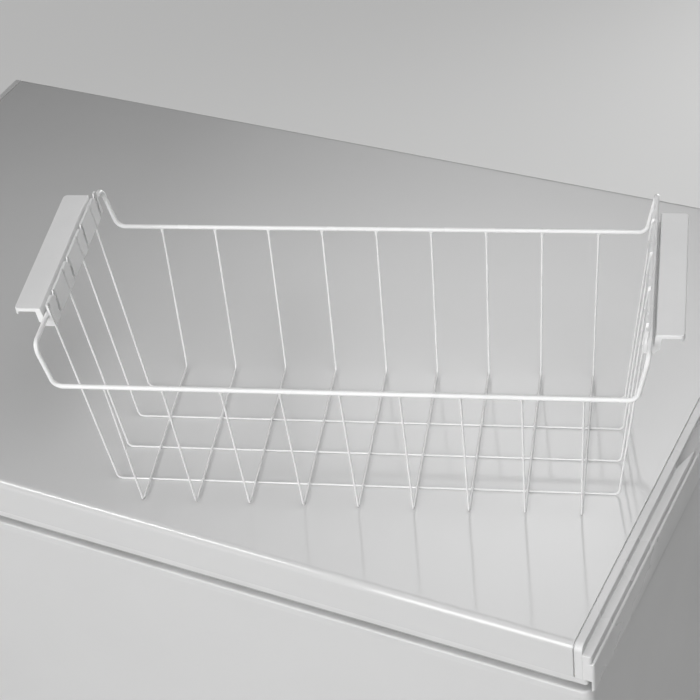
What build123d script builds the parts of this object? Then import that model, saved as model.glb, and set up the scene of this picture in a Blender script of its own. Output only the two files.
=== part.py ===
"""Chest freezer with its wire storage basket standing on the closed lid.

Millimetres, +Z up, +Y towards the hinges at the back, +X to the right-hand end.
The parts are modelled about the middle of the cabinet floor plan and moved together at the end,
so that the origin is the middle of the footprint of everything, on the floor.
"""
import os

from build123d import *

# Cabinet, outside
cabinet_width = 945.0
cabinet_depth = 604.0
overall_height = 850.0
floor_clearance = 30.0
corner_radius = 10.0
panel_sheet = 0.7
front_return = 25.0
back_return = 20.0
cut_margin = 1.0

# Lid and its seal
lid_skirt = 43.0
skin_skirt = 37.0
skin_sheet = 0.7
skin_edge_radius = 6.5
gasket_gap = 10.0
gasket_width = 15.0
gasket_setback = 6.0
gasket_lift = 0.3
lid_liner_sheet = 2.0
liner_setback = 3.0
plinth_drop = 7.0
plinth_setback = 4.5

# Lid end caps with their scooped grips
cap_overhang = 2.6
cap_strip = 6.7
cap_seam = 1.4
seam_depth = 2.5
cap_depth = 36.0
cap_corner = 3.2
lip_drop = 8.7
lip_thickness = 3.0
ledge_reach = 7.6
ledge_drop_to_foot = 8.7
foot_reach = 2.2
foot_drop = 11.5
foot_clearance = 0.4
step_round = 0.8
scoop_width = 136.0
scoop_floor_width = 124.0
scoop_neck = 66.0
scoop_neck_floor = 60.0
scoop_height = 20.0
scoop_depth = 18.0
scoop_draft = 5.0

# Collar round the mouth of the cabinet
collar_sheet = 2.5
collar_edge_radius = 2.0
collar_skirt = 8.0
gasket_land = 24.0
ledge_width = 14.0
ledge_drop = 12.0
collar_drop = 22.0

# Inner tank
tank_sheet = 0.8
tank_corner = 30.0
floor_foam = 50.0
step_foam = 36.0

# Machine bay at the right-hand end
bay_length = 240.0
bay_height = 232.0
base_sheet = 1.0
tray_sheet = 2.0

# Compressor
shell_diameter = 160.0
shell_height = 170.0
shell_wall = 3.0
shell_dome = 34.0
seam_height = 93.5
compressor_from_end = 120.0
compressor_from_middle = 60.0
foot_plate_length = 190.0
foot_plate_width = 150.0
foot_plate_sheet = 3.0
grommet_diameter = 24.0
grommet_height = 14.0
bolt_diameter = 6.0
bolt_head_diameter = 13.0
bolt_head_height = 4.0
bolt_clearance = 0.1
bolt_inset = 14.0
terminal_width = 70.0
terminal_depth = 46.0
terminal_height = 39.0

# Refrigerant tubes
condenser_diameter = 5.0
condenser_pitch = 80.0
condenser_runs = 8
condenser_start = 90.0
condenser_end_margin = 34.0
outlet_rise = 48.0
evaporator_diameter = 8.0
evaporator_pitch = 65.0
evaporator_turns = 6
coil_bend = 6.0
return_offset = 13.0
tube_bend = 12.0
tube_gap = 0.1
capillary_diameter = 2.5
capillary_from_middle = 107.0
drier_diameter = 18.0
drier_length = 90.0

# Defrost drain
drain_from_right = 672.5
drain_from_front = 102.0
drain_height = 28.0
drain_bore = 12.0
drain_wall = 2.0
spout_reach = 12.0
cap_wall = 3.0
cap_gap = 0.3
plug_flange = 30.0
plug_flange_height = 3.0
plug_stem = 8.0

# Control panel at the right of the front
bezel_width = 190.0
bezel_height = 64.0
bezel_thickness = 4.0
bezel_corner = 10.0
bezel_from_right = 115.0
bezel_lift = 110.0
knob_diameter = 38.0
knob_depth = 16.0
knob_from_bezel_end = 40.0
knob_grip = 7.0
knob_gap = 0.3
shaft_diameter = 6.0
shaft_clearance = 0.05
shaft_passage = 8.0
thermostat_size = 50.0
thermostat_depth = 28.0
switch_width = 16.0
switch_height = 26.0
switch_depth = 24.0
switch_wall = 1.2
switch_flange = 2.5
rocker_pivot_diameter = 2.6
rocker_tilt = 8.0
rocker_end_gap = 2.0
rocker_wing = 3.9
rocker_waist = 1.5
rocker_keel = 4.4
rocker_keel_half = 5.9
lamp_diameter = 5.0
lamp_pitch = 15.0
lamp_from_edge = 22.5
lamp_proud = 1.5
lamp_depth = 10.0
lamp_round = 1.3

# Feet and rollers
foot_diameter = 40.0
foot_inset = 45.0
foot_chamfer = 2.0
roller_diameter = 28.0
roller_width = 22.0
roller_round = 2.0
axle_diameter = 6.0
running_clearance = 0.05
bracket_sheet = 2.5
bracket_gap = 1.0

# Hinges
hinge_spacing = 600.0
hinge_width = 70.0
hinge_plate = 3.0
hinge_height = 98.0
hinge_reach = 16.0
hinge_rise = 6.0
knuckle_radius = 8.0
ear_thickness = 8.0
leaf_width = 36.0
leaf_height = 28.0
leaf_gap = 2.0
pin_diameter = 6.0
bush_wall = 1.5
screw_diameter = 4.2
screw_head_diameter = 9.0
screw_head_height = 2.5
screw_clearance = 0.1
bracket_screw_heights = (14.7, 49.0)
leaf_screw_inset = 6.75

# Vents and gland
grille_length = 180.0
grille_height = 110.0
grille_border = 8.0
grille_depth = 6.0
grille_proud = 2.0
grille_slats = 9
grille_slat = 4.0
cover_width = 180.0
cover_height = 180.0
cover_lap = 10.0
cover_sheet = 1.0
cover_slots = 7
cover_slot_height = 8.0
gland_diameter = 16.0
gland_bore = 8.0
gland_flange = 24.0
gland_flange_height = 4.0
gland_from_bay = 13.0

# Wire basket
wire_pitch = 48.0
wire_pitch_at_rim = 49.5
cross_wires = 9
long_wires = 4
long_wire_pitch = 42.0
long_wire_pitch_at_end = 46.7
wire_diameter = 1.8
rim_wire_diameter = 4.2
weld_depth = 0.3
weld_tuck = 1.2
basket_floor_half_width = 92.8
basket_floor_half_length = 222.0
rim_half_width = 113.0
rim_half_length = 239.5
rim_height = 149.5
end_wire_half_span = 249.0
end_wire_height = 192.0
wire_bend = 5.0
rim_bend = 9.0
basket_turn = 17.32
basket_from_right = 270.3
basket_from_front = 169.5
basket_lift = 0.3

# Basket hangers
hanger_short_end = 73.0
hanger_long_end = 92.0
hanger_top = 199.0
flange_width = 22.5
flange_thickness = 3.0
flange_corner = 4.0
flange_edge = 0.8
flange_lip = 6.0
flange_lip_thickness = 2.5
web_thickness = 4.5
web_lean = 1.4
trough_gap = 1.3
trough_depth = 18.0
tab_thickness = 2.0
tab_lean = 3.3
tab_top = 203.0
tab_root = 3.8
rib_width = 12.8
rib_proud = 0.5
rib_lead = 0.8
rib_groove = 0.7
slot_width = 4.5
slot_slant = 3.8
slot_mouth = 6.4
wire_clearance = 0.15

# Places worked out from the sizes above
half_width = cabinet_width / 2
half_depth = cabinet_depth / 2
collar_top = overall_height - lid_skirt - gasket_gap
lid_bottom = overall_height - lid_skirt
skin_bottom = overall_height - skin_skirt
panel_top = collar_top - collar_skirt
ledge_top = collar_top - ledge_drop
ledge_under = ledge_top - collar_sheet
mouth_half_width = half_width - gasket_land - ledge_width
mouth_half_depth = half_depth - gasket_land - ledge_width
tank_half_width = mouth_half_width + collar_sheet
tank_half_depth = mouth_half_depth + collar_sheet
base_top = floor_clearance + base_sheet
tank_floor = base_top + floor_foam + tank_sheet
bay_left = half_width - panel_sheet - bay_length
bay_ceiling = floor_clearance + bay_height
step_top = bay_ceiling + step_foam + tank_sheet
step_left = bay_left - step_foam - tank_sheet
inner_half_width = half_width - panel_sheet
inner_half_depth = half_depth - panel_sheet


def slab(x0, x1, y0, y1, z0, z1):
    """Box between two opposite corners."""
    middle = Pos((x0 + x1) / 2, (y0 + y1) / 2, (z0 + z1) / 2)
    return middle * Box(x1 - x0, y1 - y0, z1 - z0)


def prism(half_x, half_y, corner, z0, z1):
    """Upright block on the cabinet's axis with rounded vertical corners."""
    return extrude(Pos(0, 0, z0) * RectangleRounded(2 * half_x, 2 * half_y, corner), z1 - z0)


def ring(half_x, half_y, corner, wall, z0, z1):
    """Upright rectangular tube with rounded corners."""
    hole = prism(half_x - wall, half_y - wall, max(corner - wall, wall), z0, z1)
    return prism(half_x, half_y, corner, z0, z1) - hole


def rod_x(diameter, x0, x1, y, z):
    """Round bar along X."""
    return Pos((x0 + x1) / 2, y, z) * Rot(0, 90, 0) * Cylinder(diameter / 2, x1 - x0)


def rod_y(diameter, x, y0, y1, z):
    """Round bar along Y."""
    return Pos(x, (y0 + y1) / 2, z) * Rot(90, 0, 0) * Cylinder(diameter / 2, y1 - y0)


def rod_z(diameter, x, y, z0, z1):
    """Upright round bar."""
    return Pos(x, y, (z0 + z1) / 2) * Cylinder(diameter / 2, z1 - z0)


def bent_wire(points, bend, diameter, bore=0.0):
    """Round wire, or a tube when it has a bore, along straight runs joined by bends."""
    path = FilletPolyline(*points, radius=bend)
    start = Plane(origin=path @ 0, z_dir=path % 0)
    section = start * Circle(diameter / 2)
    if bore:
        section -= start * Circle(bore / 2)
    return sweep(section, path=path)


def profile_x(points, x0, x1):
    """Outline drawn in the YZ plane and pulled along X."""
    outline = Plane.YZ * make_face(Polyline(*points, close=True))
    return extrude(Pos(x0, 0, 0) * outline, x1 - x0)


def profile_y(points, y0, y1):
    """Outline drawn as (x, z) points and pulled along Y."""
    face = make_face(Polyline(*[(x, 0, z) for x, z in points], close=True))
    return extrude(Pos(0, y0, 0) * face, y1 - y0, dir=(0, 1, 0))


def profile_z(points, z0, z1):
    """Outline drawn as (x, y) points and pulled along Z."""
    face = make_face(Polyline(*[(x, y, 0) for x, y in points], close=True))
    return extrude(Pos(0, 0, z0) * face, z1 - z0, dir=(0, 0, 1))


def group(solids):
    """Several like pieces kept as separate solids of one part."""
    return Compound([solid for piece in solids for solid in piece.solids()])


pieces = {}

# Front control panel places, used by the front sheet's cut-outs
bezel_x = half_width - bezel_from_right
bezel_z = floor_clearance + bezel_lift
bezel_face = -half_depth - bezel_thickness
knob_x = bezel_x + bezel_width / 2 - knob_from_bezel_end
switch_x = bezel_x
lamp_places = [bezel_x - bezel_width / 2 + lamp_from_edge + k * lamp_pitch for k in range(3)]
hole_start = bezel_face - cut_margin
hole_end = -inner_half_depth + cut_margin
shaft_hole = rod_y(shaft_passage, knob_x, hole_start, hole_end, bezel_z)
switch_hole = slab(
    switch_x - switch_width / 2,
    switch_x + switch_width / 2,
    hole_start,
    hole_end,
    bezel_z - switch_height / 2,
    bezel_z + switch_height / 2,
)
lamp_holes = [rod_y(lamp_diameter, x, hole_start, hole_end, bezel_z) for x in lamp_places]

# Defrost drain: a tube from the tank floor that turns forward to a spout on the front
drain_x = half_width - drain_from_right
drain_y = -half_depth + drain_from_front
drain_z = floor_clearance + drain_height
drain_outer = drain_bore + 2 * drain_wall
spout_end = -half_depth - spout_reach
drain_points = [
    (drain_x, drain_y, tank_floor - tank_sheet),
    (drain_x, drain_y, drain_z),
    (drain_x, spout_end, drain_z),
]
pieces["drain_tube"] = bent_wire(drain_points, tube_bend, drain_outer, drain_bore)
spout_hole = rod_y(drain_outer, drain_x, spout_end, drain_y - tube_bend, drain_z)

# Outer sheets: the front and back wrap a little way round the corners, flat sheets close the ends
wrap = ring(half_width, half_depth, corner_radius, panel_sheet, floor_clearance, panel_top)
front_zone = slab(
    -half_width, half_width, -half_depth, -half_depth + front_return, floor_clearance, panel_top
)
back_zone = slab(-half_width, half_width, half_depth - back_return, half_depth, floor_clearance, panel_top)
front_panel = (wrap & front_zone) - shaft_hole - switch_hole - spout_hole
for hole in lamp_holes:
    front_panel -= hole
pieces["front_panel"] = front_panel

side_front = -half_depth + front_return
side_back = half_depth - back_return
pieces["left_side_panel"] = slab(
    -half_width, -inner_half_width, side_front, side_back, floor_clearance, panel_top
)
grille_y = (side_front + side_back) / 2
grille_z = floor_clearance + bay_height / 2
grille_opening = slab(
    inner_half_width - grille_depth,
    half_width + cut_margin,
    grille_y - grille_length / 2,
    grille_y + grille_length / 2,
    grille_z - grille_height / 2,
    grille_z + grille_height / 2,
)
right_side = slab(inner_half_width, half_width, side_front, side_back, floor_clearance, panel_top)
pieces["right_side_panel"] = right_side - grille_opening

# Hinge places, used by the back sheet's screw holes
hinge_places = [-hinge_spacing / 2, hinge_spacing / 2]
pin_y = half_depth + hinge_reach
pin_z = collar_top + hinge_rise
plate_back = half_depth + hinge_plate
bracket_top = collar_top - ledge_drop
bracket_bottom = bracket_top - hinge_height
cabinet_screw_spots = []
for hinge_x in hinge_places:
    for side in (-1, 1):
        for height in bracket_screw_heights:
            screw_x = hinge_x + side * (hinge_width / 2 - screw_head_diameter)
            cabinet_screw_spots.append((screw_x, bracket_bottom + height))
screw_hole_diameter = screw_diameter + 2 * screw_clearance
cabinet_screw_holes = [
    rod_y(screw_hole_diameter, x, inner_half_depth, plate_back, z) for x, z in cabinet_screw_spots
]

cover_x = half_width - panel_sheet - bay_length / 2 + gland_flange / 2
cover_z = floor_clearance + bay_height / 2
cover_opening = slab(
    cover_x - cover_width / 2 + cover_lap,
    cover_x + cover_width / 2 - cover_lap,
    inner_half_depth - cut_margin,
    half_depth + cut_margin,
    cover_z - cover_height / 2 + cover_lap,
    cover_z + cover_height / 2 - cover_lap,
)
gland_x = bay_left + gland_from_bay
gland_z = floor_clearance + 2 * gland_flange
gland_hole = rod_y(
    gland_diameter, gland_x, inner_half_depth - cut_margin, half_depth + cut_margin, gland_z
)
back_panel = (wrap & back_zone) - cover_opening - gland_hole
for hole in cabinet_screw_holes:
    back_panel -= hole
pieces["back_panel"] = back_panel

# Louvred cover over the machine bay, and the bush where the supply lead enters
cover = slab(
    cover_x - cover_width / 2,
    cover_x + cover_width / 2,
    half_depth,
    half_depth + cover_sheet,
    cover_z - cover_height / 2,
    cover_z + cover_height / 2,
)
slot_pitch = (cover_height - 4 * cover_lap) / cover_slots
for k in range(cover_slots):
    slot_z = cover_z + (k - (cover_slots - 1) / 2) * slot_pitch
    cover -= slab(
        cover_x - cover_width / 2 + 2 * cover_lap,
        cover_x + cover_width / 2 - 2 * cover_lap,
        half_depth,
        half_depth + cover_sheet,
        slot_z - cover_slot_height / 2,
        slot_z + cover_slot_height / 2,
    )
pieces["compressor_bay_cover"] = cover
gland = rod_y(gland_flange, gland_x, half_depth, half_depth + gland_flange_height, gland_z)
gland += rod_y(gland_diameter, gland_x, inner_half_depth - gland_flange_height, half_depth, gland_z)
gland -= rod_y(
    gland_bore,
    gland_x,
    inner_half_depth - gland_flange_height,
    half_depth + gland_flange_height,
    gland_z,
)
pieces["cord_gland"] = gland

# Slatted vent in the right-hand end
grille = slab(
    inner_half_width - grille_depth,
    half_width,
    grille_y - grille_length / 2,
    grille_y + grille_length / 2,
    grille_z - grille_height / 2,
    grille_z + grille_height / 2,
)
grille += slab(
    half_width,
    half_width + grille_proud,
    grille_y - grille_length / 2 - grille_border,
    grille_y + grille_length / 2 + grille_border,
    grille_z - grille_height / 2 - grille_border,
    grille_z + grille_height / 2 + grille_border,
)
window_height = (grille_height - (grille_slats + 1) * grille_slat) / grille_slats
for k in range(grille_slats):
    window_z = grille_z - grille_height / 2 + grille_slat + k * (window_height + grille_slat)
    grille -= slab(
        inner_half_width - grille_depth,
        half_width + grille_proud,
        grille_y - grille_length / 2 + grille_slat,
        grille_y + grille_length / 2 - grille_slat,
        window_z,
        window_z + window_height,
    )
pieces["side_vent_grille"] = grille

# Base: a sheet under the insulated part and a stiffer tray under the machine bay
tray_top = floor_clearance + tray_sheet
base_block = prism(
    inner_half_width, inner_half_depth, corner_radius - panel_sheet, floor_clearance, tray_top
)
pieces["base_pan"] = base_block & slab(
    -inner_half_width, bay_left, -half_depth, half_depth, floor_clearance, base_top
)
tray = base_block & slab(
    bay_left, inner_half_width, -half_depth, half_depth, floor_clearance, tray_top
)

# Collar: gasket land, ledge that the basket hangs on, and a drop behind which the tank is tucked
collar_block = prism(half_width, half_depth, corner_radius, panel_top, collar_top)
collar_block = fillet(collar_block.edges().group_by(Axis.Z)[-1], collar_edge_radius)
ledge_half_width = half_width - gasket_land
ledge_half_depth = half_depth - gasket_land
land_hole = prism(
    half_width - collar_sheet,
    half_depth - collar_sheet,
    corner_radius - collar_sheet,
    panel_top,
    collar_top - collar_sheet,
)
collar = collar_block - land_hole
collar += prism(
    ledge_half_width + collar_sheet,
    ledge_half_depth + collar_sheet,
    tank_corner + ledge_width,
    ledge_under,
    collar_top - collar_sheet,
)
collar -= prism(ledge_half_width, ledge_half_depth, tank_corner + ledge_width, ledge_top, collar_top)
drop_bottom = ledge_top - collar_drop
collar += prism(tank_half_width, tank_half_depth, tank_corner + collar_sheet, drop_bottom, ledge_under)
collar -= prism(mouth_half_width, mouth_half_depth, tank_corner, drop_bottom, ledge_top)
pieces["top_frame"] = collar

# Inner tank: a bent wall sheet and a floor sheet that steps up over the machine bay
wall_outer = tank_half_width + tank_sheet
tank_wall_corner = tank_corner + collar_sheet + tank_sheet
tank_wall = ring(
    wall_outer,
    tank_half_depth + tank_sheet,
    tank_wall_corner,
    tank_sheet,
    tank_floor - tank_sheet,
    ledge_under,
)
under_step = slab(
    step_left + tank_sheet,
    wall_outer + cut_margin,
    -half_depth,
    half_depth,
    tank_floor - tank_sheet - cut_margin,
    step_top - tank_sheet,
)
pieces["liner_wrap"] = tank_wall - under_step
floor_points = [
    (-tank_half_width, tank_floor),
    (step_left, tank_floor),
    (step_left, step_top),
    (tank_half_width, step_top),
    (tank_half_width, step_top - tank_sheet),
    (step_left + tank_sheet, step_top - tank_sheet),
    (step_left + tank_sheet, tank_floor - tank_sheet),
    (-tank_half_width, tank_floor - tank_sheet),
]
tank_space = prism(
    tank_half_width, tank_half_depth, tank_corner + collar_sheet, tank_floor - tank_sheet, ledge_under
)
tank_floor_sheet = profile_y(floor_points, -tank_half_depth, tank_half_depth) & tank_space
drain_hole = rod_z(drain_bore, drain_x, drain_y, tank_floor - tank_sheet, tank_floor)
pieces["liner_floor"] = tank_floor_sheet - drain_hole

# Refrigerant: the condenser lies on the inside of the front sheet, the evaporator winds round the tank
condenser_y = -inner_half_depth + condenser_diameter / 2 + tube_gap
condenser_left = -inner_half_width + condenser_end_margin
condenser_right = bay_left - condenser_end_margin
outlet_x = bay_left - condenser_end_margin / 2
coupling_x = bay_left + condenser_end_margin
first_run = floor_clearance + condenser_start
outlet_z = first_run + outlet_rise
condenser_points = [(coupling_x, condenser_y, first_run)]
for k in range(condenser_runs):
    run_z = first_run + k * condenser_pitch
    run_start = condenser_right if k % 2 == 0 else condenser_left
    run_end = condenser_left if k % 2 == 0 else condenser_right
    if k > 0:
        condenser_points.append((run_start, condenser_y, run_z))
    if k < condenser_runs - 1:
        condenser_points.append((run_end, condenser_y, run_z))
condenser_top = first_run + (condenser_runs - 1) * condenser_pitch
drier_front = condenser_y + 4 * tube_bend
condenser_points += [
    (outlet_x, condenser_y, condenser_top),
    (outlet_x, condenser_y, outlet_z),
    (coupling_x, condenser_y, outlet_z),
    (coupling_x, drier_front, outlet_z),
]
pieces["condenser_tube"] = bent_wire(condenser_points, tube_bend, condenser_diameter)

coil_half_width = wall_outer + evaporator_diameter / 2 + tube_gap
coil_half_depth = tank_half_depth + tank_sheet + evaporator_diameter / 2 + tube_gap
coil_bottom = step_top + 2 * tube_bend
tube_foot = bay_ceiling - tube_bend
capillary_y = -capillary_from_middle
return_x = coil_half_width + return_offset
coil_points = [(coil_half_width, capillary_y, tube_foot), (coil_half_width, capillary_y, coil_bottom)]
for k in range(evaporator_turns):
    turn_z = coil_bottom + k * evaporator_pitch
    coil_points += [
        (coil_half_width, coil_half_depth, turn_z),
        (-coil_half_width, coil_half_depth, turn_z),
        (-coil_half_width, -coil_half_depth, turn_z),
        (coil_half_width, -coil_half_depth, turn_z + evaporator_pitch),
    ]
coil_top = coil_bottom + evaporator_turns * evaporator_pitch
coil_points += [(coil_half_width, 0, coil_top), (return_x, 0, coil_top), (return_x, 0, tube_foot)]
pieces["evaporator_tube"] = bent_wire(coil_points, coil_bend, evaporator_diameter)

# Foam between the sheets, cast round the tank, under the collar and over the machine bay
foam = prism(inner_half_width, inner_half_depth, corner_radius - panel_sheet, base_top, panel_top)
tank_hollow = prism(
    wall_outer, tank_half_depth + tank_sheet, tank_wall_corner, tank_floor - tank_sheet, panel_top
)
foam -= tank_hollow - under_step
foam -= slab(bay_left, inner_half_width, -half_depth, half_depth, floor_clearance, bay_ceiling)
foam -= prism(
    ledge_half_width + collar_sheet,
    ledge_half_depth + collar_sheet,
    tank_corner + ledge_width,
    ledge_under,
    panel_top,
)
foam -= bent_wire(drain_points, tube_bend, drain_outer)
pieces["insulation_foam"] = foam

# Compressor: a two-part welded can on a foot plate, held on rubber grommets by four bolts
can_x = half_width - compressor_from_end
can_y = compressor_from_middle
plate_bottom = tray_top + grommet_height
can_bottom = plate_bottom + foot_plate_sheet
can_top = can_bottom + shell_height
can_seam = can_bottom + seam_height
can = fillet(rod_z(shell_diameter, can_x, can_y, can_bottom, can_top).edges(), shell_dome)
can_inside = rod_z(
    shell_diameter - 2 * shell_wall, can_x, can_y, can_bottom + shell_wall, can_top - shell_wall
)
can -= fillet(can_inside.edges(), shell_dome - shell_wall)
seam_lap = rod_z(shell_diameter + 2 * shell_wall, can_x, can_y, can_seam - 2 * shell_wall, can_seam)
seam_lap -= rod_z(shell_diameter, can_x, can_y, can_seam - 2 * shell_wall, can_seam)
bay_box = [half_width - bay_length, half_width, -half_depth, half_depth]
pieces["compressor_lower_shell"] = (can & slab(*bay_box, can_bottom, can_seam)) + seam_lap
pieces["compressor_upper_shell"] = can & slab(*bay_box, can_seam, can_top)

bolt_places = [
    (
        can_x + sx * (foot_plate_length / 2 - bolt_inset),
        can_y + sy * (foot_plate_width / 2 - bolt_inset),
    )
    for sx in (-1, 1)
    for sy in (-1, 1)
]
foot_plate = slab(
    can_x - foot_plate_length / 2,
    can_x + foot_plate_length / 2,
    can_y - foot_plate_width / 2,
    can_y + foot_plate_width / 2,
    plate_bottom,
    can_bottom,
)
bolt_hole = bolt_diameter + 2 * bolt_clearance
grommets = []
bolts = []
for bolt_x, bolt_y in bolt_places:
    foot_plate -= rod_z(bolt_hole, bolt_x, bolt_y, plate_bottom, can_bottom)
    tray -= rod_z(bolt_hole, bolt_x, bolt_y, floor_clearance, tray_top)
    grommet = rod_z(grommet_diameter, bolt_x, bolt_y, tray_top, plate_bottom)
    grommets.append(grommet - rod_z(bolt_hole, bolt_x, bolt_y, tray_top, plate_bottom))
    bolt = rod_z(bolt_diameter, bolt_x, bolt_y, floor_clearance, can_bottom)
    bolt += rod_z(bolt_head_diameter, bolt_x, bolt_y, can_bottom, can_bottom + bolt_head_height)
    bolts.append(bolt)
pieces["compressor_tray"] = tray
pieces["compressor_foot_plate"] = foot_plate
pieces["compressor_grommets"] = group(grommets)
pieces["compressor_bolts"] = group(bolts)

terminal_z = can_bottom + shell_dome
terminal = slab(
    can_x - terminal_width / 2,
    can_x + terminal_width / 2,
    can_y + shell_diameter / 3,
    can_y + shell_diameter / 3 + terminal_depth,
    can_seam + shell_wall,
    can_seam + shell_wall + terminal_height,
)
terminal -= rod_z(shell_diameter, can_x, can_y, terminal_z, can_top)
pieces["terminal_cover"] = terminal

# Pipes in the machine bay
discharge_x = can_x - shell_diameter / 8
shell_radius = shell_diameter / 2
discharge_start = can_y - (shell_radius**2 - (shell_diameter / 8) ** 2) ** 0.5
discharge_points = [
    (discharge_x, discharge_start, first_run),
    (discharge_x, condenser_y, first_run),
    (coupling_x, condenser_y, first_run),
]
pieces["discharge_pipe"] = bent_wire(discharge_points, tube_bend, condenser_diameter)
suction_x = can_x + shell_diameter / 8
suction_z = can_seam + 4 * shell_wall
suction_turn = can_y - shell_radius - 3 * tube_bend
suction_points = [
    (suction_x, discharge_start, suction_z),
    (suction_x, suction_turn, suction_z),
    (return_x, suction_turn, suction_z),
    (return_x, 0, suction_z),
    (return_x, 0, tube_foot),
]
pieces["suction_pipe"] = bent_wire(suction_points, tube_bend, evaporator_diameter)
drier_back = drier_front + drier_length
drier = rod_y(drier_diameter, coupling_x, drier_front, drier_back, outlet_z)
pieces["filter_drier"] = fillet(drier.edges(), drier_diameter / 3)
capillary_points = [
    (coupling_x, drier_back, outlet_z),
    (coupling_x, capillary_y, outlet_z),
    (coil_half_width, capillary_y, outlet_z),
    (coil_half_width, capillary_y, tube_foot),
]
pieces["capillary_tube"] = bent_wire(capillary_points, tube_bend, capillary_diameter)

# Control panel: bezel, thermostat, fast-freeze switch and indicator lamps
bezel_outline = RectangleRounded(bezel_width, bezel_height, bezel_corner)
bezel = extrude(Pos(bezel_x, -half_depth, bezel_z) * Rot(90, 0, 0) * bezel_outline, bezel_thickness)
bezel = bezel - shaft_hole - switch_hole
for hole in lamp_holes:
    bezel -= hole
pieces["control_bezel"] = bezel

thermostat_back = -inner_half_depth + thermostat_depth
thermostat = slab(
    knob_x - thermostat_size / 2,
    knob_x + thermostat_size / 2,
    -inner_half_depth,
    thermostat_back,
    bezel_z - thermostat_size / 2,
    bezel_z + thermostat_size / 2,
)
thermostat -= rod_y(
    shaft_diameter + 2 * shaft_clearance,
    knob_x,
    -inner_half_depth,
    thermostat_back - panel_sheet,
    bezel_z,
)
pieces["thermostat_body"] = thermostat
knob_back = bezel_face - knob_gap
knob_front = knob_back - knob_depth
knob = rod_y(knob_diameter, knob_x, knob_front, knob_back, bezel_z)
knob = fillet(knob.edges().group_by(Axis.Y)[0], knob_depth / 8)
for side in (-1, 1):
    flat_edge = knob_x + side * knob_grip / 2
    far_edge = knob_x + side * knob_diameter
    knob -= slab(
        min(flat_edge, far_edge),
        max(flat_edge, far_edge),
        knob_front,
        knob_front + knob_depth / 2,
        bezel_z - knob_diameter,
        bezel_z + knob_diameter,
    )
shaft_front = knob_front + knob_depth / 4
knob -= rod_y(shaft_diameter, knob_x, shaft_front, knob_back, bezel_z)
pieces["thermostat_knob"] = knob
pieces["thermostat_shaft"] = rod_y(
    shaft_diameter, knob_x, shaft_front, thermostat_back - thermostat_depth / 4, bezel_z
)

switch_front = bezel_face - switch_flange
switch_back = -half_depth + switch_depth
housing = slab(
    switch_x - switch_width / 2,
    switch_x + switch_width / 2,
    bezel_face,
    switch_back,
    bezel_z - switch_height / 2,
    bezel_z + switch_height / 2,
)
housing += slab(
    switch_x - switch_width / 2 - switch_flange,
    switch_x + switch_width / 2 + switch_flange,
    switch_front,
    bezel_face,
    bezel_z - switch_height / 2 - switch_flange,
    bezel_z + switch_height / 2 + switch_flange,
)
housing -= slab(
    switch_x - switch_width / 2 + switch_wall,
    switch_x + switch_width / 2 - switch_wall,
    switch_front,
    switch_back - switch_wall,
    bezel_z - switch_height / 2 + switch_wall,
    bezel_z + switch_height / 2 - switch_wall,
)
rocker_y = bezel_face
pivot_hole = rocker_pivot_diameter + 2 * running_clearance
housing -= rod_x(
    pivot_hole, switch_x - switch_width / 2, switch_x + switch_width / 2, rocker_y + switch_flange, bezel_z
)
pieces["switch_housing"] = housing
rocker_half = switch_height / 2 - switch_wall - rocker_end_gap
rocker_width = switch_width - 2 * switch_wall - 2 * knob_gap
rocker_outline = [
    (-switch_flange - rocker_wing, rocker_half),
    (-switch_flange - rocker_waist, 0),
    (-switch_flange - rocker_wing, -rocker_half),
    (0, -rocker_half),
    (rocker_keel, -rocker_keel_half),
    (rocker_keel, rocker_keel_half),
    (0, rocker_half),
]
rocker = profile_x(rocker_outline, -rocker_width / 2, rocker_width / 2)
pivot_half = switch_width / 2 - knob_gap
rocker += rod_x(rocker_pivot_diameter, -pivot_half, pivot_half, 0, 0)
rocker_place = Pos(switch_x, rocker_y + switch_flange, bezel_z) * Rot(-rocker_tilt, 0, 0)
pieces["fast_freeze_rocker"] = rocker_place * rocker

for lamp_name, lamp_x in zip(("power_lamp", "fast_freeze_lamp", "alarm_lamp"), lamp_places):
    lamp = rod_y(lamp_diameter, lamp_x, bezel_face - lamp_proud, bezel_face + lamp_depth, bezel_z)
    pieces[lamp_name] = fillet(lamp.edges().group_by(Axis.Y)[0], lamp_round)

# Drain closures
cap_front = spout_end - cap_gap - cap_wall
cap_bore = drain_outer + 2 * cap_gap
cap_outer = cap_bore + 2 * cap_wall
drain_cap = rod_y(cap_outer, drain_x, cap_front, -half_depth - cap_gap, drain_z)
drain_cap -= rod_y(cap_bore, drain_x, spout_end - cap_gap, -half_depth - cap_gap, drain_z)
pieces["drain_cap"] = drain_cap
plug_seat = tank_floor + cap_gap
drain_plug = rod_z(plug_flange, drain_x, drain_y, plug_seat, plug_seat + plug_flange_height)
drain_plug += rod_z(drain_bore - 2 * cap_gap, drain_x, drain_y, plug_seat - plug_stem, plug_seat)
pieces["drain_plug"] = drain_plug

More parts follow.
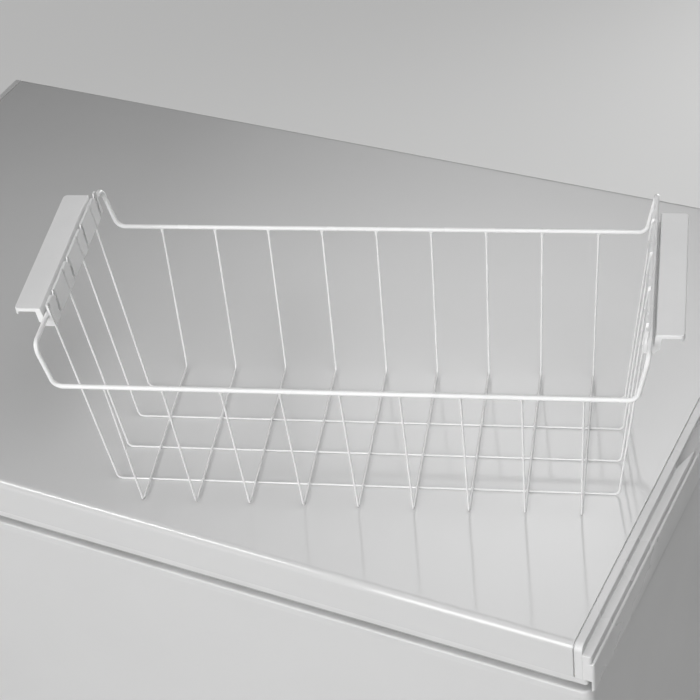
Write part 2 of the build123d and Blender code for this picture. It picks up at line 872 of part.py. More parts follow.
# Feet at the front, rollers at the back
foot_x = half_width - foot_inset
foot_y = half_depth - foot_inset
feet = [rod_z(foot_diameter, side * foot_x, -foot_y, 0, floor_clearance) for side in (-1, 1)]
pieces["front_feet"] = group([chamfer(foot.edges().group_by(Axis.Z)[0], foot_chamfer) for foot in feet])
axle_z = roller_diameter / 2
cheek_inner = roller_width / 2 + bracket_gap
cheek_outer = cheek_inner + bracket_sheet
axle_hole = axle_diameter + 2 * running_clearance
brackets = []
axles = []
for side, roller_name in ((-1, "left_roller"), (1, "right_roller")):
    roller_x = side * foot_x
    bracket = slab(
        roller_x - cheek_outer,
        roller_x + cheek_outer,
        foot_y - roller_diameter / 2,
        foot_y + roller_diameter / 2,
        axle_z - axle_diameter,
        floor_clearance,
    )
    bracket -= slab(
        roller_x - cheek_inner,
        roller_x + cheek_inner,
        foot_y - roller_diameter,
        foot_y + roller_diameter,
        axle_z - axle_diameter,
        roller_diameter + bracket_gap / 2,
    )
    bracket -= rod_x(axle_diameter, roller_x - cheek_outer, roller_x + cheek_outer, foot_y, axle_z)
    brackets.append(bracket)
    axles.append(rod_x(axle_diameter, roller_x - cheek_outer, roller_x + cheek_outer, foot_y, axle_z))
    roller_ends = (roller_x - roller_width / 2, roller_x + roller_width / 2)
    roller = fillet(rod_x(roller_diameter, *roller_ends, foot_y, axle_z).edges(), roller_round)
    pieces[roller_name] = roller - rod_x(axle_hole, *roller_ends, foot_y, axle_z)
pieces["roller_brackets"] = group(brackets)
pieces["roller_axles"] = group(axles)

# Hinges: cabinet brackets with two ears and a pin, lid leaves turning on bushes between the ears
leaf_bottom = skin_bottom + leaf_gap
leaf_top = leaf_bottom + leaf_height
bush_diameter = pin_diameter + 2 * running_clearance + 2 * bush_wall
bush_bore = pin_diameter + 2 * running_clearance
ear_inner = leaf_width / 2 + leaf_gap
ear_outer = ear_inner + ear_thickness
hinge_brackets = []
hinge_pins = []
hinge_leaves = []
hinge_bushes = []
lid_screw_spots = []
for hinge_x in hinge_places:
    bracket = slab(
        hinge_x - hinge_width / 2,
        hinge_x + hinge_width / 2,
        half_depth,
        plate_back,
        bracket_bottom,
        bracket_top,
    )
    for side in (-1, 1):
        ear_ends = sorted((hinge_x + side * ear_inner, hinge_x + side * ear_outer))
        ear_outline = [
            (half_depth, bracket_top - 2 * knuckle_radius),
            (half_depth, bracket_top),
            (pin_y - knuckle_radius, pin_z),
            (pin_y + knuckle_radius, pin_z),
            (plate_back, bracket_top - 3 * knuckle_radius),
        ]
        bracket += profile_x(ear_outline, *ear_ends)
        bracket += rod_x(2 * knuckle_radius, *ear_ends, pin_y, pin_z)
    bracket -= rod_x(pin_diameter, hinge_x - ear_outer, hinge_x + ear_outer, pin_y, pin_z)
    hinge_brackets.append(bracket)
    hinge_pins.append(rod_x(pin_diameter, hinge_x - ear_outer, hinge_x + ear_outer, pin_y, pin_z))
    leaf_ends = (hinge_x - leaf_width / 2, hinge_x + leaf_width / 2)
    leaf = slab(*leaf_ends, half_depth, plate_back, leaf_bottom, leaf_top)
    arm_outline = [
        (half_depth, leaf_bottom + knuckle_radius),
        (half_depth, leaf_bottom),
        (pin_y - knuckle_radius, pin_z),
        (pin_y + knuckle_radius, pin_z),
        (plate_back, leaf_bottom + 2 * knuckle_radius),
    ]
    leaf += profile_x(arm_outline, *leaf_ends)
    leaf += rod_x(2 * knuckle_radius, *leaf_ends, pin_y, pin_z)
    leaf -= rod_x(bush_diameter, *leaf_ends, pin_y, pin_z)
    for side in (-1, 1):
        screw_x = hinge_x + side * (leaf_width / 2 - screw_head_diameter)
        lid_screw_spots.append((screw_x, leaf_top - leaf_screw_inset))
    hinge_leaves.append(leaf)
    bush = rod_x(bush_diameter, *leaf_ends, pin_y, pin_z)
    hinge_bushes.append(bush - rod_x(bush_bore, *leaf_ends, pin_y, pin_z))
lid_screw_holes = [
    rod_y(screw_hole_diameter, x, half_depth - skin_sheet, plate_back, z) for x, z in lid_screw_spots
]


def screw(x, z, tip):
    """Pan-head screw driven forwards through a hinge plate."""
    head = rod_y(screw_head_diameter, x, plate_back, plate_back + screw_head_height, z)
    head = fillet(head.edges().group_by(Axis.Y)[-1], screw_head_height / 2)
    return head + rod_y(screw_diameter, x, tip, plate_back, z)


pieces["hinge_brackets"] = group([bracket - cabinet_screw_holes for bracket in hinge_brackets])
pieces["hinge_pins"] = group(hinge_pins)
pieces["hinge_leaves"] = group([leaf - lid_screw_holes for leaf in hinge_leaves])
pieces["hinge_bushes"] = group(hinge_bushes)
pieces["cabinet_hinge_screws"] = group([screw(x, z, inner_half_depth) for x, z in cabinet_screw_spots])
pieces["lid_hinge_screws"] = group([screw(x, z, half_depth - skin_sheet) for x, z in lid_screw_spots])

# Lid: a folded steel skin over foam, closed at its ends by moulded caps and below by a liner
cap_edge = half_width + cap_overhang
ledge_edge = cap_edge - foot_reach
lip_edge = ledge_edge - ledge_reach
skin_half_width = lip_edge - cap_strip


def lid_block(half_y, top, edge_radius, x0, x1, bottom):
    """Lid-shaped bar along X with its two long top edges rounded."""
    block = slab(x0, x1, -half_y, half_y, bottom, top)
    return fillet(block.edges().filter_by(Axis.X).group_by(Axis.Z)[-1], edge_radius)


skin_ends = (cap_seam - skin_half_width, skin_half_width - cap_seam)
skin = lid_block(half_depth, overall_height, skin_edge_radius, *skin_ends, skin_bottom)
skin_inside = lid_block(
    half_depth - skin_sheet,
    overall_height - skin_sheet,
    skin_edge_radius - skin_sheet,
    -half_width,
    half_width,
    skin_bottom,
)
skin -= skin_inside
for hole in lid_screw_holes:
    skin -= hole
pieces["lid_skin"] = skin

ledge_level = overall_height - lip_drop
foot_level = ledge_level - ledge_drop_to_foot
foot_bottom = skin_bottom - foot_drop
cap_inner = half_width - cap_depth
end_cap = lid_block(half_depth, overall_height, skin_edge_radius, skin_half_width, lip_edge, skin_bottom)
lip_face = end_cap.faces().sort_by(Axis.X)[-1]
end_cap = fillet(lip_face.edges().sort_by(Axis.Z)[-1], step_round)
end_cap += skin_inside & slab(
    cap_inner, skin_half_width, -half_depth, half_depth, skin_bottom, overall_height
)
seam_groove = lid_block(
    half_depth, overall_height, skin_edge_radius, skin_ends[-1], skin_half_width, skin_bottom
)
seam_groove -= lid_block(
    half_depth - seam_depth,
    overall_height - seam_depth,
    skin_edge_radius - seam_depth,
    skin_ends[-1],
    skin_half_width,
    skin_bottom,
)
end_cap -= seam_groove
for step_edge, step_level in ((ledge_edge, ledge_level), (cap_edge, foot_level)):
    step = slab(lip_edge, step_edge, -half_depth, half_depth, skin_bottom, step_level)
    step = fillet(step.edges().filter_by(Axis.Z).group_by(Axis.X)[-1], cap_corner)
    step = fillet(step.faces().sort_by(Axis.Z)[-1].edges().group_by(Axis.X)[-1], step_round)
    end_cap += step
foot = slab(lip_edge, cap_edge, -half_depth, half_depth, foot_bottom, skin_bottom)
foot = fillet(foot.edges().filter_by(Axis.Z).group_by(Axis.X)[-1], cap_corner)
foot -= slab(lip_edge, half_width + foot_clearance, -half_depth, half_depth, foot_bottom, skin_bottom)
end_cap += foot


def scoop_outline(x, mouth, floor, bottom):
    """Finger scoop's outline in a plane square to X: widest at the ledge, narrower at its floor."""
    lip_under = overall_height - lip_thickness
    points = [
        (x, -mouth / 2, lip_under),
        (x, mouth / 2, lip_under),
        (x, mouth / 2, ledge_level),
        (x, floor / 2, bottom),
        (x, -floor / 2, bottom),
        (x, -mouth / 2, ledge_level),
    ]
    return make_face(Polyline(*points, close=True))


scoop_bottom = ledge_level - scoop_height
scoop_mouth = scoop_outline(lip_edge, scoop_width, scoop_floor_width, scoop_bottom)
scoop_end = scoop_outline(
    half_width - scoop_depth,
    scoop_width - 2 * scoop_draft,
    scoop_floor_width - 2 * scoop_draft,
    scoop_bottom + scoop_draft,
)
scoop_exit = scoop_outline(cap_edge, scoop_neck, scoop_neck_floor, scoop_bottom)
end_cap -= loft([scoop_end, scoop_mouth], ruled=True)
end_cap -= loft([scoop_mouth, scoop_exit], ruled=True)
pieces["lid_end_cap_right"] = end_cap
pieces["lid_end_cap_left"] = Rot(0, 0, 180) * end_cap

liner_half_width = half_width - liner_setback
liner_plate = prism(liner_half_width, half_depth, cap_corner, lid_bottom, skin_bottom)
plate_inside = prism(
    liner_half_width - lid_liner_sheet,
    half_depth - lid_liner_sheet,
    cap_corner,
    lid_bottom + lid_liner_sheet,
    skin_bottom,
)
lid_liner = liner_plate - plate_inside
plinth_half_width = ledge_half_width - plinth_setback
plinth_half_depth = ledge_half_depth - plinth_setback
plinth_bottom = lid_bottom - plinth_drop
lid_liner += prism(plinth_half_width, plinth_half_depth, tank_corner, plinth_bottom, lid_bottom)
plinth_space = prism(
    plinth_half_width - lid_liner_sheet,
    plinth_half_depth - lid_liner_sheet,
    tank_corner - lid_liner_sheet,
    plinth_bottom + lid_liner_sheet,
    skin_bottom,
)
lid_liner -= plinth_space
pieces["lid_liner"] = lid_liner
lid_foam = skin_inside & slab(-cap_inner, cap_inner, -half_depth, half_depth, skin_bottom, overall_height)
lid_foam += plate_inside + plinth_space
pieces["lid_foam"] = lid_foam
pieces["lid_gasket"] = ring(
    half_width - gasket_setback,
    half_depth - gasket_setback,
    2 * corner_radius,
    gasket_width,
    collar_top + gasket_lift,
    lid_bottom,
)

# Wire basket in its own frame: X along its length, origin at the middle of its floor
wire_radius = wire_diameter / 2
rim_radius = rim_wire_diameter / 2
half_rim = [
    (-end_wire_half_span, 0, end_wire_height),
    (-end_wire_half_span, -rim_half_width, end_wire_height),
    (-rim_half_length, -rim_half_width, rim_height),
    (rim_half_length, -rim_half_width, rim_height),
    (end_wire_half_span, -rim_half_width, end_wire_height),
    (end_wire_half_span, 0, end_wire_height),
]
front_rim = bent_wire(half_rim, rim_bend, rim_wire_diameter)
rim = front_rim + Rot(0, 0, 180) * front_rim

touch = rim_radius + wire_radius - weld_depth
cross_top = rim_half_width - weld_tuck
cross_end = rim_height - rim_radius + 2 * weld_depth
cross_floor = wire_diameter - weld_depth
crosses = []
for k in range(cross_wires):
    from_middle = k - (cross_wires - 1) / 2
    floor_x = from_middle * wire_pitch
    top_x = from_middle * wire_pitch_at_rim
    cross_points = [
        (top_x, -cross_top, cross_end),
        (floor_x, -basket_floor_half_width, cross_floor),
        (floor_x, basket_floor_half_width, cross_floor),
        (top_x, cross_top, cross_end),
    ]
    crosses.append(bent_wire(cross_points, wire_bend, wire_diameter))

long_top = end_wire_half_span - touch
long_places = []
longs = []
for k in range(long_wires):
    from_middle = k - (long_wires - 1) / 2
    floor_y = from_middle * long_wire_pitch
    top_y = from_middle * long_wire_pitch_at_end
    long_points = [
        (-long_top, top_y, end_wire_height),
        (-basket_floor_half_length, floor_y, 0),
        (basket_floor_half_length, floor_y, 0),
        (long_top, top_y, end_wire_height),
    ]
    long_places.append((floor_y, top_y))
    longs.append(bent_wire(long_points, wire_bend, wire_diameter))

# Hanger: a flange to rest on the ledge, a trough clipped round the end wire, and slotted tabs
web_face = end_wire_half_span + rim_radius + trough_gap
flange_inner = web_face + web_lean
flange_outer = flange_inner + flange_width
trough_floor = end_wire_height - rim_radius
trough_bottom = hanger_top - trough_depth
tab_face = end_wire_half_span - rim_radius
tab_bottom = tab_face - tab_root
tab_tip = tab_bottom + tab_lean
hanger_outline = [
    (flange_outer, hanger_top),
    (flange_outer, hanger_top - flange_lip),
    (flange_outer - flange_lip_thickness, hanger_top - flange_lip),
    (flange_outer - flange_lip_thickness, hanger_top - flange_thickness),
    (flange_inner + web_thickness, hanger_top - flange_thickness),
    (web_face + web_thickness, trough_bottom + web_thickness),
    (web_face, trough_bottom),
    (tab_bottom, trough_bottom),
    (tab_tip, tab_top),
    (tab_tip + tab_thickness, tab_top),
    (tab_face, end_wire_height + rim_radius),
    (tab_face, trough_floor),
    (web_face, trough_floor),
    (flange_inner, hanger_top),
]
hanger = profile_y(hanger_outline, -hanger_long_end, hanger_short_end)
hanger = fillet(hanger.edges().filter_by(Axis.Z).group_by(Axis.X)[-1], flange_corner)
flange_face = hanger.faces().filter_by(Plane.XY).sort_by(Axis.Z)[-2]
hanger = fillet(flange_face.edges(), flange_edge)
rib_outline = [
    (tab_bottom, trough_bottom),
    (tab_bottom - rib_proud, trough_bottom - rib_proud),
    (tab_tip - rib_proud, tab_top - rib_proud),
    (tab_tip, tab_top),
    (tab_face, end_wire_height + rim_radius),
    (tab_face, trough_bottom),
]
for floor_y, top_y in long_places:
    hanger += profile_y(rib_outline, top_y - rib_width + rib_lead, top_y + rib_lead)
groove_outline = [
    (tab_bottom - 2 * rib_proud, trough_bottom - rib_proud),
    (tab_tip - 2 * rib_proud, tab_top),
    (tab_tip + rib_groove, tab_top),
    (tab_bottom + rib_groove, trough_bottom - rib_proud),
]
for floor_y, top_y in long_places:
    slot_back = top_y - rib_width + rib_lead
    slot_outline = [
        (tab_bottom - 2 * rib_proud, slot_back),
        (tab_bottom - 2 * rib_proud, slot_back - slot_width),
        (tab_face, slot_back - slot_width - slot_slant),
        (tab_face, slot_back - slot_slant),
    ]
    hanger -= profile_z(slot_outline, trough_bottom - rib_proud, tab_top)
    hanger -= rod_x(slot_mouth, tab_bottom, tab_face + tab_thickness, slot_back - slot_width / 2, tab_top)
    hanger -= profile_y(groove_outline, top_y + rib_lead, top_y + rib_lead + rib_groove)
    channel_points = [
        (basket_floor_half_length, floor_y, 0),
        (long_top, top_y, end_wire_height),
        (long_top, top_y, tab_top + wire_diameter),
    ]
    hanger -= bent_wire(channel_points, wire_bend, wire_diameter + 2 * wire_clearance)

basket_x = half_width - basket_from_right
basket_y = -half_depth + basket_from_front
basket_place = Pos(basket_x, basket_y, overall_height + basket_lift + wire_radius) * Rot(0, 0, basket_turn)
pieces["basket_rim"] = basket_place * rim
pieces["basket_cross_wires"] = basket_place * group(crosses)
pieces["basket_long_wires"] = basket_place * group(longs)
pieces["basket_hanger_right"] = basket_place * hanger
pieces["basket_hanger_left"] = basket_place * Rot(0, 0, 180) * hanger

# Origin: the middle of the footprint of the whole object, on the floor
extent = group(pieces.values()).bounding_box()
shift = Pos(-(extent.min.X + extent.max.X) / 2, -(extent.min.Y + extent.max.Y) / 2, 0)

os.makedirs("parts", exist_ok=True)
for name, piece in pieces.items():
    export_step(shift * piece, f"parts/{name}.step")
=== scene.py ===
"""Chest freezer with its wire basket standing on the closed lid: finishes, small fittings, light and camera.

Metres, +Z up, +Y towards the hinges, +X to the right-hand end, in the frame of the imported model.
"""
import math

import bmesh
import bpy
from mathutils import Matrix, Vector


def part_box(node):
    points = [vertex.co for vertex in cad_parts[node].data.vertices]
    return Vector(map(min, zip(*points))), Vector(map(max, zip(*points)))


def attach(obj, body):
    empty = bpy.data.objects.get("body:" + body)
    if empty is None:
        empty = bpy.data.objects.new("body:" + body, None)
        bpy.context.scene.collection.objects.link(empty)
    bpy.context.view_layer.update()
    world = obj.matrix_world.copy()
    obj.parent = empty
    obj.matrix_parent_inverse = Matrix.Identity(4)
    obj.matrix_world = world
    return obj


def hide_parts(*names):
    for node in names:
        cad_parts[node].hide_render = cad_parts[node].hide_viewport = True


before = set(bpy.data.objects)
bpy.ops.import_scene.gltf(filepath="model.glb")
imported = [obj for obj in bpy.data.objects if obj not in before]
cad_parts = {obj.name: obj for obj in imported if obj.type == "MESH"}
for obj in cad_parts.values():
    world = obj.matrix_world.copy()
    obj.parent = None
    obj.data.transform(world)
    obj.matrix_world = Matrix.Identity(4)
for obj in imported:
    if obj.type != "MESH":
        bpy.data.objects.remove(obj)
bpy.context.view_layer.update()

# Base pan and machine tray: zinc-coated sheet, folded and riveted to the bottom of the side sheets.
# The coating freezes in grains a few millimetres across, which stay visible as a faint spangle.
spangle_grain = 0.009
spangle_share = 0.6
smear_size = 0.05
zinc_dark = (0.42, 0.43, 0.45, 1)
zinc_light = (0.58, 0.59, 0.61, 1)
zinc_roughness = (0.34, 0.5)
full_range = (0, 1)


class Signal:
    """A shader value on its way from one node to the next, with arithmetic that adds Math nodes."""

    def __init__(self, finish, socket):
        self.finish = finish
        self.socket = socket

    def math(self, operation, first, second):
        return self.finish.node("Math", {"operation": operation}, {0: first, 1: second})

    def __add__(self, other):
        return self.math("ADD", self, other)

    def __radd__(self, other):
        return self.math("ADD", other, self)

    def __mul__(self, other):
        return self.math("MULTIPLY", self, other)

    def __rmul__(self, other):
        return self.math("MULTIPLY", other, self)


class Finish:
    """One material: its node tree and the shader in which colour, gloss and relief end."""

    # The Mix node's colour sockets share their names with its other sockets, so they go by number.
    mix_factor = 0
    mix_colour_a = 6
    mix_colour_b = 7
    mix_colour_result = 2

    def __init__(self, name, fixed):
        self.material = bpy.data.materials.new(name)
        self.material.use_nodes = True
        self.tree = self.material.node_tree
        self.shader = self.tree.nodes["Principled BSDF"]
        self.place = self.node("TexCoord", {}, {}, "Object")
        self.set(fixed)

    def join(self, socket, value):
        if isinstance(value, Signal):
            self.tree.links.new(value.socket, socket)
        else:
            socket.default_value = value

    def node(self, kind, settings, sockets, output=0):
        made = self.tree.nodes.new("ShaderNode" + kind)
        for name, value in settings.items():
            setattr(made, name, value)
        for name, value in sockets.items():
            self.join(made.inputs[name], value)
        return Signal(self, made.outputs[output])

    def set(self, sockets):
        for name, value in sockets.items():
            self.join(self.shader.inputs[name], value)

    def noise(self, size, detail=2.0, rough=0.5):
        sockets = {"Vector": self.place, "Scale": 1 / size, "Detail": detail, "Roughness": rough}
        return self.node("TexNoise", {}, sockets, "Fac")

    def span(self, value, source, target):
        sockets = {
            "Value": value,
            "From Min": source[0],
            "From Max": source[1],
            "To Min": target[0],
            "To Max": target[1],
        }
        return self.node("MapRange", {"interpolation_type": "SMOOTHSTEP"}, sockets)

    def blend(self, factor, first, second):
        sockets = {self.mix_factor: factor, self.mix_colour_a: first, self.mix_colour_b: second}
        return self.node("Mix", {"data_type": "RGBA"}, sockets, self.mix_colour_result)

    def relief(self, height, depth):
        self.set({"Normal": self.node("Bump", {}, {"Distance": depth, "Height": height})})


def dress(finish, *names):
    """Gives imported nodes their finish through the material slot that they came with."""
    for name in names:
        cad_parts[name].material_slots[0].material = finish.material


galvanised = Finish("galvanised_sheet", {"Metallic": 1.0})
spangle = galvanised.node(
    "TexVoronoi", {"feature": "F1"}, {"Vector": galvanised.place, "Scale": 1 / spangle_grain}, "Color"
)
grain_tone = galvanised.node("SeparateColor", {}, {"Color": spangle}, "Red")
smear = galvanised.noise(smear_size, detail=4.0)
spangle_tone = spangle_share * grain_tone + (1 - spangle_share) * smear
galvanised.set({
    "Base Color": galvanised.blend(spangle_tone, zinc_dark, zinc_light),
    "Roughness": galvanised.span(grain_tone, full_range, zinc_roughness),
})
dress(galvanised, "base_pan", "compressor_tray", "compressor_bay_cover")

# Front, end and back sheets: cold-rolled steel with a baked white enamel, a little orange-peeled.
# The front and back wrap round the corners; the ends are flat sheets slid in between them.
enamel_white = (0.70, 0.70, 0.70, 1)
enamel_shade = (0.66, 0.66, 0.66, 1)
enamel_ior = 1.5
peel_size = 0.0032
peel_depth = 0.000012
handled_patch = 0.16


def enamel(name, pale, shade, roughness, ior=enamel_ior):
    """Baked enamel: fine orange peel, and gloss that varies where it has been wiped and touched."""
    finish = Finish(name, {"IOR": ior})
    patches = finish.noise(handled_patch, detail=3.0, rough=0.55)
    finish.set({
        "Base Color": finish.blend(patches, pale, shade),
        "Roughness": finish.span(patches, full_range, roughness),
    })
    finish.relief(finish.noise(peel_size, detail=1.0), peel_depth)
    return finish


cabinet_enamel = enamel("cabinet_enamel", enamel_white, enamel_shade, roughness=(0.26, 0.36))
dress(cabinet_enamel, "front_panel", "left_side_panel", "right_side_panel", "back_panel")

# Tank: one bent wall sheet and a stepped floor of soft aluminium, rolled with a stucco pattern
# that hides dents and scratches, and riveted under the collar.
stucco_cell = 0.0065
stucco_depth = 0.0006
stucco_softness = 0.6
frost_size = 0.07
frost_tones = (0.35, 0.7)
frost_sheens = (0.3, 0.7)
tank_bright = (0.80, 0.81, 0.82, 1)
tank_dull = (0.66, 0.67, 0.69, 1)
tank_roughness = (0.3, 0.48)

stucco = Finish("stucco_aluminium", {"Metallic": 1.0})
pebbles = stucco.node(
    "TexVoronoi",
    {"feature": "SMOOTH_F1"},
    {"Vector": stucco.place, "Scale": 1 / stucco_cell, "Smoothness": stucco_softness},
    "Distance",
)
frost = stucco.noise(frost_size, detail=4.0, rough=0.6)
stucco.set({
    "Base Color": stucco.blend(stucco.span(frost, frost_tones, full_range), tank_bright, tank_dull),
    "Roughness": stucco.span(frost, frost_sheens, tank_roughness),
})
stucco.relief(pebbles, stucco_depth)
dress(stucco, "liner_wrap", "liner_floor")

# Insulation: polyurethane foam blown in between the sheets, cream coloured, with small open cells
# where it is cut and a darker skin where it set against the steel.
foam_cell = 0.0016
foam_roughness = 0.9
foam_cream = (0.80, 0.70, 0.46, 1)
foam_skin = (0.66, 0.53, 0.30, 1)
skin_patch = 0.03
skin_tones = (0.3, 0.7)

foam = Finish("blown_foam", {"Roughness": foam_roughness})
cells = foam.node(
    "TexVoronoi", {"feature": "F1"}, {"Vector": foam.place, "Scale": 1 / foam_cell}, "Distance"
)
skin = foam.span(foam.noise(skin_patch, detail=4.0), skin_tones, full_range)
foam.set({"Base Color": foam.blend(skin, foam_cream, foam_skin)})
foam.relief(cells, foam_cell / 2)
dress(foam, "insulation_foam", "lid_foam")

# Refrigerant tubes: bright steel condenser and soft aluminium evaporator buried in the foam, copper
# pipes, drier and capillary in the machine bay, tarnished brown in patches. The plated steel also
# serves the bolts, the rollers' brackets and axles, and the thermostat's shaft.
copper_bright = (0.72, 0.36, 0.22, 1)
copper_tarnish = (0.30, 0.14, 0.08, 1)
tarnish_patch = 0.02
tarnish_tones = (0.38, 0.7)
pits_across_patch = 25
pit_depth = 0.00002


def drawn_metal(name, bright, dull, roughness):
    """Drawn tube or bar: clean metal with duller patches and a faint pitting."""
    finish = Finish(name, {"Metallic": 1.0})
    patches = finish.span(finish.noise(tarnish_patch, detail=4.0, rough=0.6), tarnish_tones, full_range)
    finish.set({
        "Base Color": finish.blend(patches, bright, dull),
        "Roughness": finish.span(patches, full_range, roughness),
    })
    finish.relief(finish.noise(tarnish_patch / pits_across_patch), pit_depth)
    return finish


copper = drawn_metal("drawn_copper", copper_bright, copper_tarnish, roughness=(0.22, 0.5))
dress(copper, "discharge_pipe", "suction_pipe", "capillary_tube", "filter_drier")
tube_aluminium = drawn_metal("tube_aluminium", tank_bright, tank_dull, roughness=(0.25, 0.45))
dress(tube_aluminium, "evaporator_tube")
plated_steel = drawn_metal("plated_steel", zinc_light, zinc_dark, roughness=(0.25, 0.42))
dress(
    plated_steel,
    "condenser_tube",
    "compressor_bolts",
    "roller_brackets",
    "roller_axles",
    "thermostat_shaft",
)

# Compressor: a two-part pressed can, welded at the lap and dipped in black enamel, on a foot plate.
# Rubber grommets carry it, and a moulded cover closes off its terminals.
can_black = (0.018, 0.018, 0.02, 1)
can_dust = (0.085, 0.08, 0.075, 1)
rubber_black = (0.022, 0.022, 0.023, 1)
rubber_bloom = (0.06, 0.06, 0.062, 1)
cover_black = (0.035, 0.035, 0.037, 1)
cover_worn = (0.06, 0.06, 0.062, 1)
plastic_ior = 1.46
drift_size = 0.09
drift_tones = (0.35, 0.7)
drift_share = 0.7

can_enamel = enamel("can_enamel", can_black, can_dust, roughness=(0.3, 0.5))
dress(can_enamel, "compressor_lower_shell", "compressor_upper_shell", "compressor_foot_plate")


def moulding(name, pale, shade, roughness, grain):
    """Moulded plastic or rubber: spark-eroded grain, and a faint drift of tone from flow and wear.

    The grain is given as its size and its depth.
    """
    grain_size, grain_depth = grain
    finish = Finish(name, {"IOR": plastic_ior})
    drift = finish.span(finish.noise(drift_size, detail=3.0, rough=0.6), drift_tones, full_range)
    eroded = finish.noise(grain_size, rough=0.6)
    tone = drift_share * drift + (1 - drift_share) * eroded
    finish.set({
        "Base Color": finish.blend(tone, pale, shade),
        "Roughness": finish.span(drift, full_range, roughness),
    })
    finish.relief(eroded, grain_depth)
    return finish


rubber = moulding(
    "black_rubber", rubber_black, rubber_bloom, roughness=(0.6, 0.8), grain=(0.0012, 0.00004)
)
dress(rubber, "compressor_grommets")
dark_moulding = moulding(
    "dark_moulding", cover_black, cover_worn, roughness=(0.42, 0.6), grain=(0.0009, 0.00005)
)
dress(dark_moulding, "terminal_cover", "thermostat_body", "switch_housing", "cord_gland", "front_feet")

# Collar: one white moulding round the mouth, with the gasket's land, the basket's ledge and a skirt
# that covers the tank's top edge.
moulding_white = (0.72, 0.72, 0.72, 1)
moulding_shade = (0.67, 0.67, 0.67, 1)

collar_moulding = moulding(
    "collar_moulding", moulding_white, moulding_shade, roughness=(0.32, 0.44), grain=(0.0008, 0.00002)
)
dress(collar_moulding, "top_frame")

# Machine-bay cover: the louvred sheet dressed with the base above, held by four hexagon screws with
# pressed flanges, one in each corner of its lap.
cover_low, cover_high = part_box("compressor_bay_cover")
screw_inset = 0.005
flange_radius = 0.0042
flange_taper = 0.9
flange_height = 0.0008
flange_sides = 24
hexagon_radius = 0.0028
hexagon_sides = 6
head_height = 0.0026
quarter_turn = math.radians(90)


def piece(name, shape, finish, body, crease=32):
    """Turns a finished bmesh into an object with its finish, shaded smooth up to its creases."""
    mesh = bpy.data.meshes.new(name)
    shape.to_mesh(mesh)
    shape.free()
    mesh.shade_smooth()
    mesh.set_sharp_from_angle(angle=math.radians(crease))
    mesh.materials.append(finish.material)
    made = bpy.data.objects.new(name, mesh)
    bpy.context.scene.collection.objects.link(made)
    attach(made, body)
    return made


cover_screws = bmesh.new()
facing_back = Matrix.Rotation(-quarter_turn, 4, "X")
for screw_x in (cover_low.x + screw_inset, cover_high.x - screw_inset):
    for screw_z in (cover_low.z + screw_inset, cover_high.z - screw_inset):
        seat = Matrix.Translation((screw_x, cover_high.y, screw_z)) @ facing_back
        bmesh.ops.create_cone(
            cover_screws,
            cap_ends=True,
            segments=flange_sides,
            radius1=flange_radius,
            radius2=flange_radius * flange_taper,
            depth=flange_height,
            matrix=seat @ Matrix.Translation((0, 0, flange_height / 2)),
        )
        bmesh.ops.create_cone(
            cover_screws,
            cap_ends=True,
            segments=hexagon_sides,
            radius1=hexagon_radius,
            radius2=hexagon_radius,
            depth=head_height,
            matrix=seat @ Matrix.Translation((0, 0, flange_height + head_height / 2)),
        )
piece("bay_cover_screws", cover_screws, plated_steel, "cabinet")

# Vent in the right-hand end: a white moulded frame with slats that lets air into the machine bay,
# pushed into the sheet from outside.
trim_moulding = moulding(
    "trim_moulding", moulding_white, moulding_shade, roughness=(0.3, 0.42), grain=(0.0008, 0.00002)
)
dress(trim_moulding, "side_vent_grille")

# Control panel: a grey bezel on the front sheet with a thermostat dial, a fast-freeze rocker and
# three indicator lamps. Dial marks, plain numbers and a star over the rocker are pad printed.
bezel_pale = (0.60, 0.61, 0.62, 1)
bezel_shade = (0.54, 0.55, 0.565, 1)
print_grey = (0.07, 0.075, 0.085, 1)
print_faded = (0.12, 0.125, 0.135, 1)
print_depth = 0.00015
print_corner_share = 0.45
dial_steps = 7
dial_turn = math.radians(45)
tick_inner = 0.0212
tick_outer = 0.0246
tick_width = 0.0009
number_radius = 0.0276
number_height = 0.0042
star_arms = 3
star_reach = 0.0034
star_bar = 0.0007
star_rise = 0.0225

bezel_moulding = moulding(
    "bezel_moulding", bezel_pale, bezel_shade, roughness=(0.36, 0.48), grain=(0.0007, 0.00003)
)
dress(bezel_moulding, "control_bezel")
pad_print = moulding("pad_print", print_grey, print_faded, roughness=(0.4, 0.55), grain=(0.0006, 0.00001))

bezel_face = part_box("control_bezel")[0].y
knob_low, knob_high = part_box("thermostat_knob")
knob_middle = (knob_low + knob_high) / 2
switch_low, switch_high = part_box("switch_housing")
switch_middle = (switch_low + switch_high) / 2
facing_front = Matrix.Rotation(quarter_turn, 4, "X")
dial_place = Matrix.Translation((knob_middle.x, bezel_face, knob_middle.z)) @ facing_front
star_place = Matrix.Translation((switch_middle.x, bezel_face, switch_middle.z + star_rise)) @ facing_front


def round_edges(shape, edges, width, steps=2):
    """Rounds some edges of a shape."""
    bmesh.ops.bevel(
        shape, geom=edges, offset=width, segments=steps, profile=0.5, affect="EDGES", material=-1
    )


def printed_bar(shape, place, width, length):
    """Thin rounded bar of ink lying on the panel, drawn in the panel's own plane."""
    size = Matrix.Diagonal((width, length, print_depth, 1))
    made = bmesh.ops.create_cube(shape, size=1.0, matrix=place @ size)
    bar_edges = {edge for corner in made["verts"] for edge in corner.link_edges}
    upright = [edge for edge in bar_edges if edge.calc_length() < 2 * print_depth]
    round_edges(shape, upright, min(width, length) * print_corner_share)


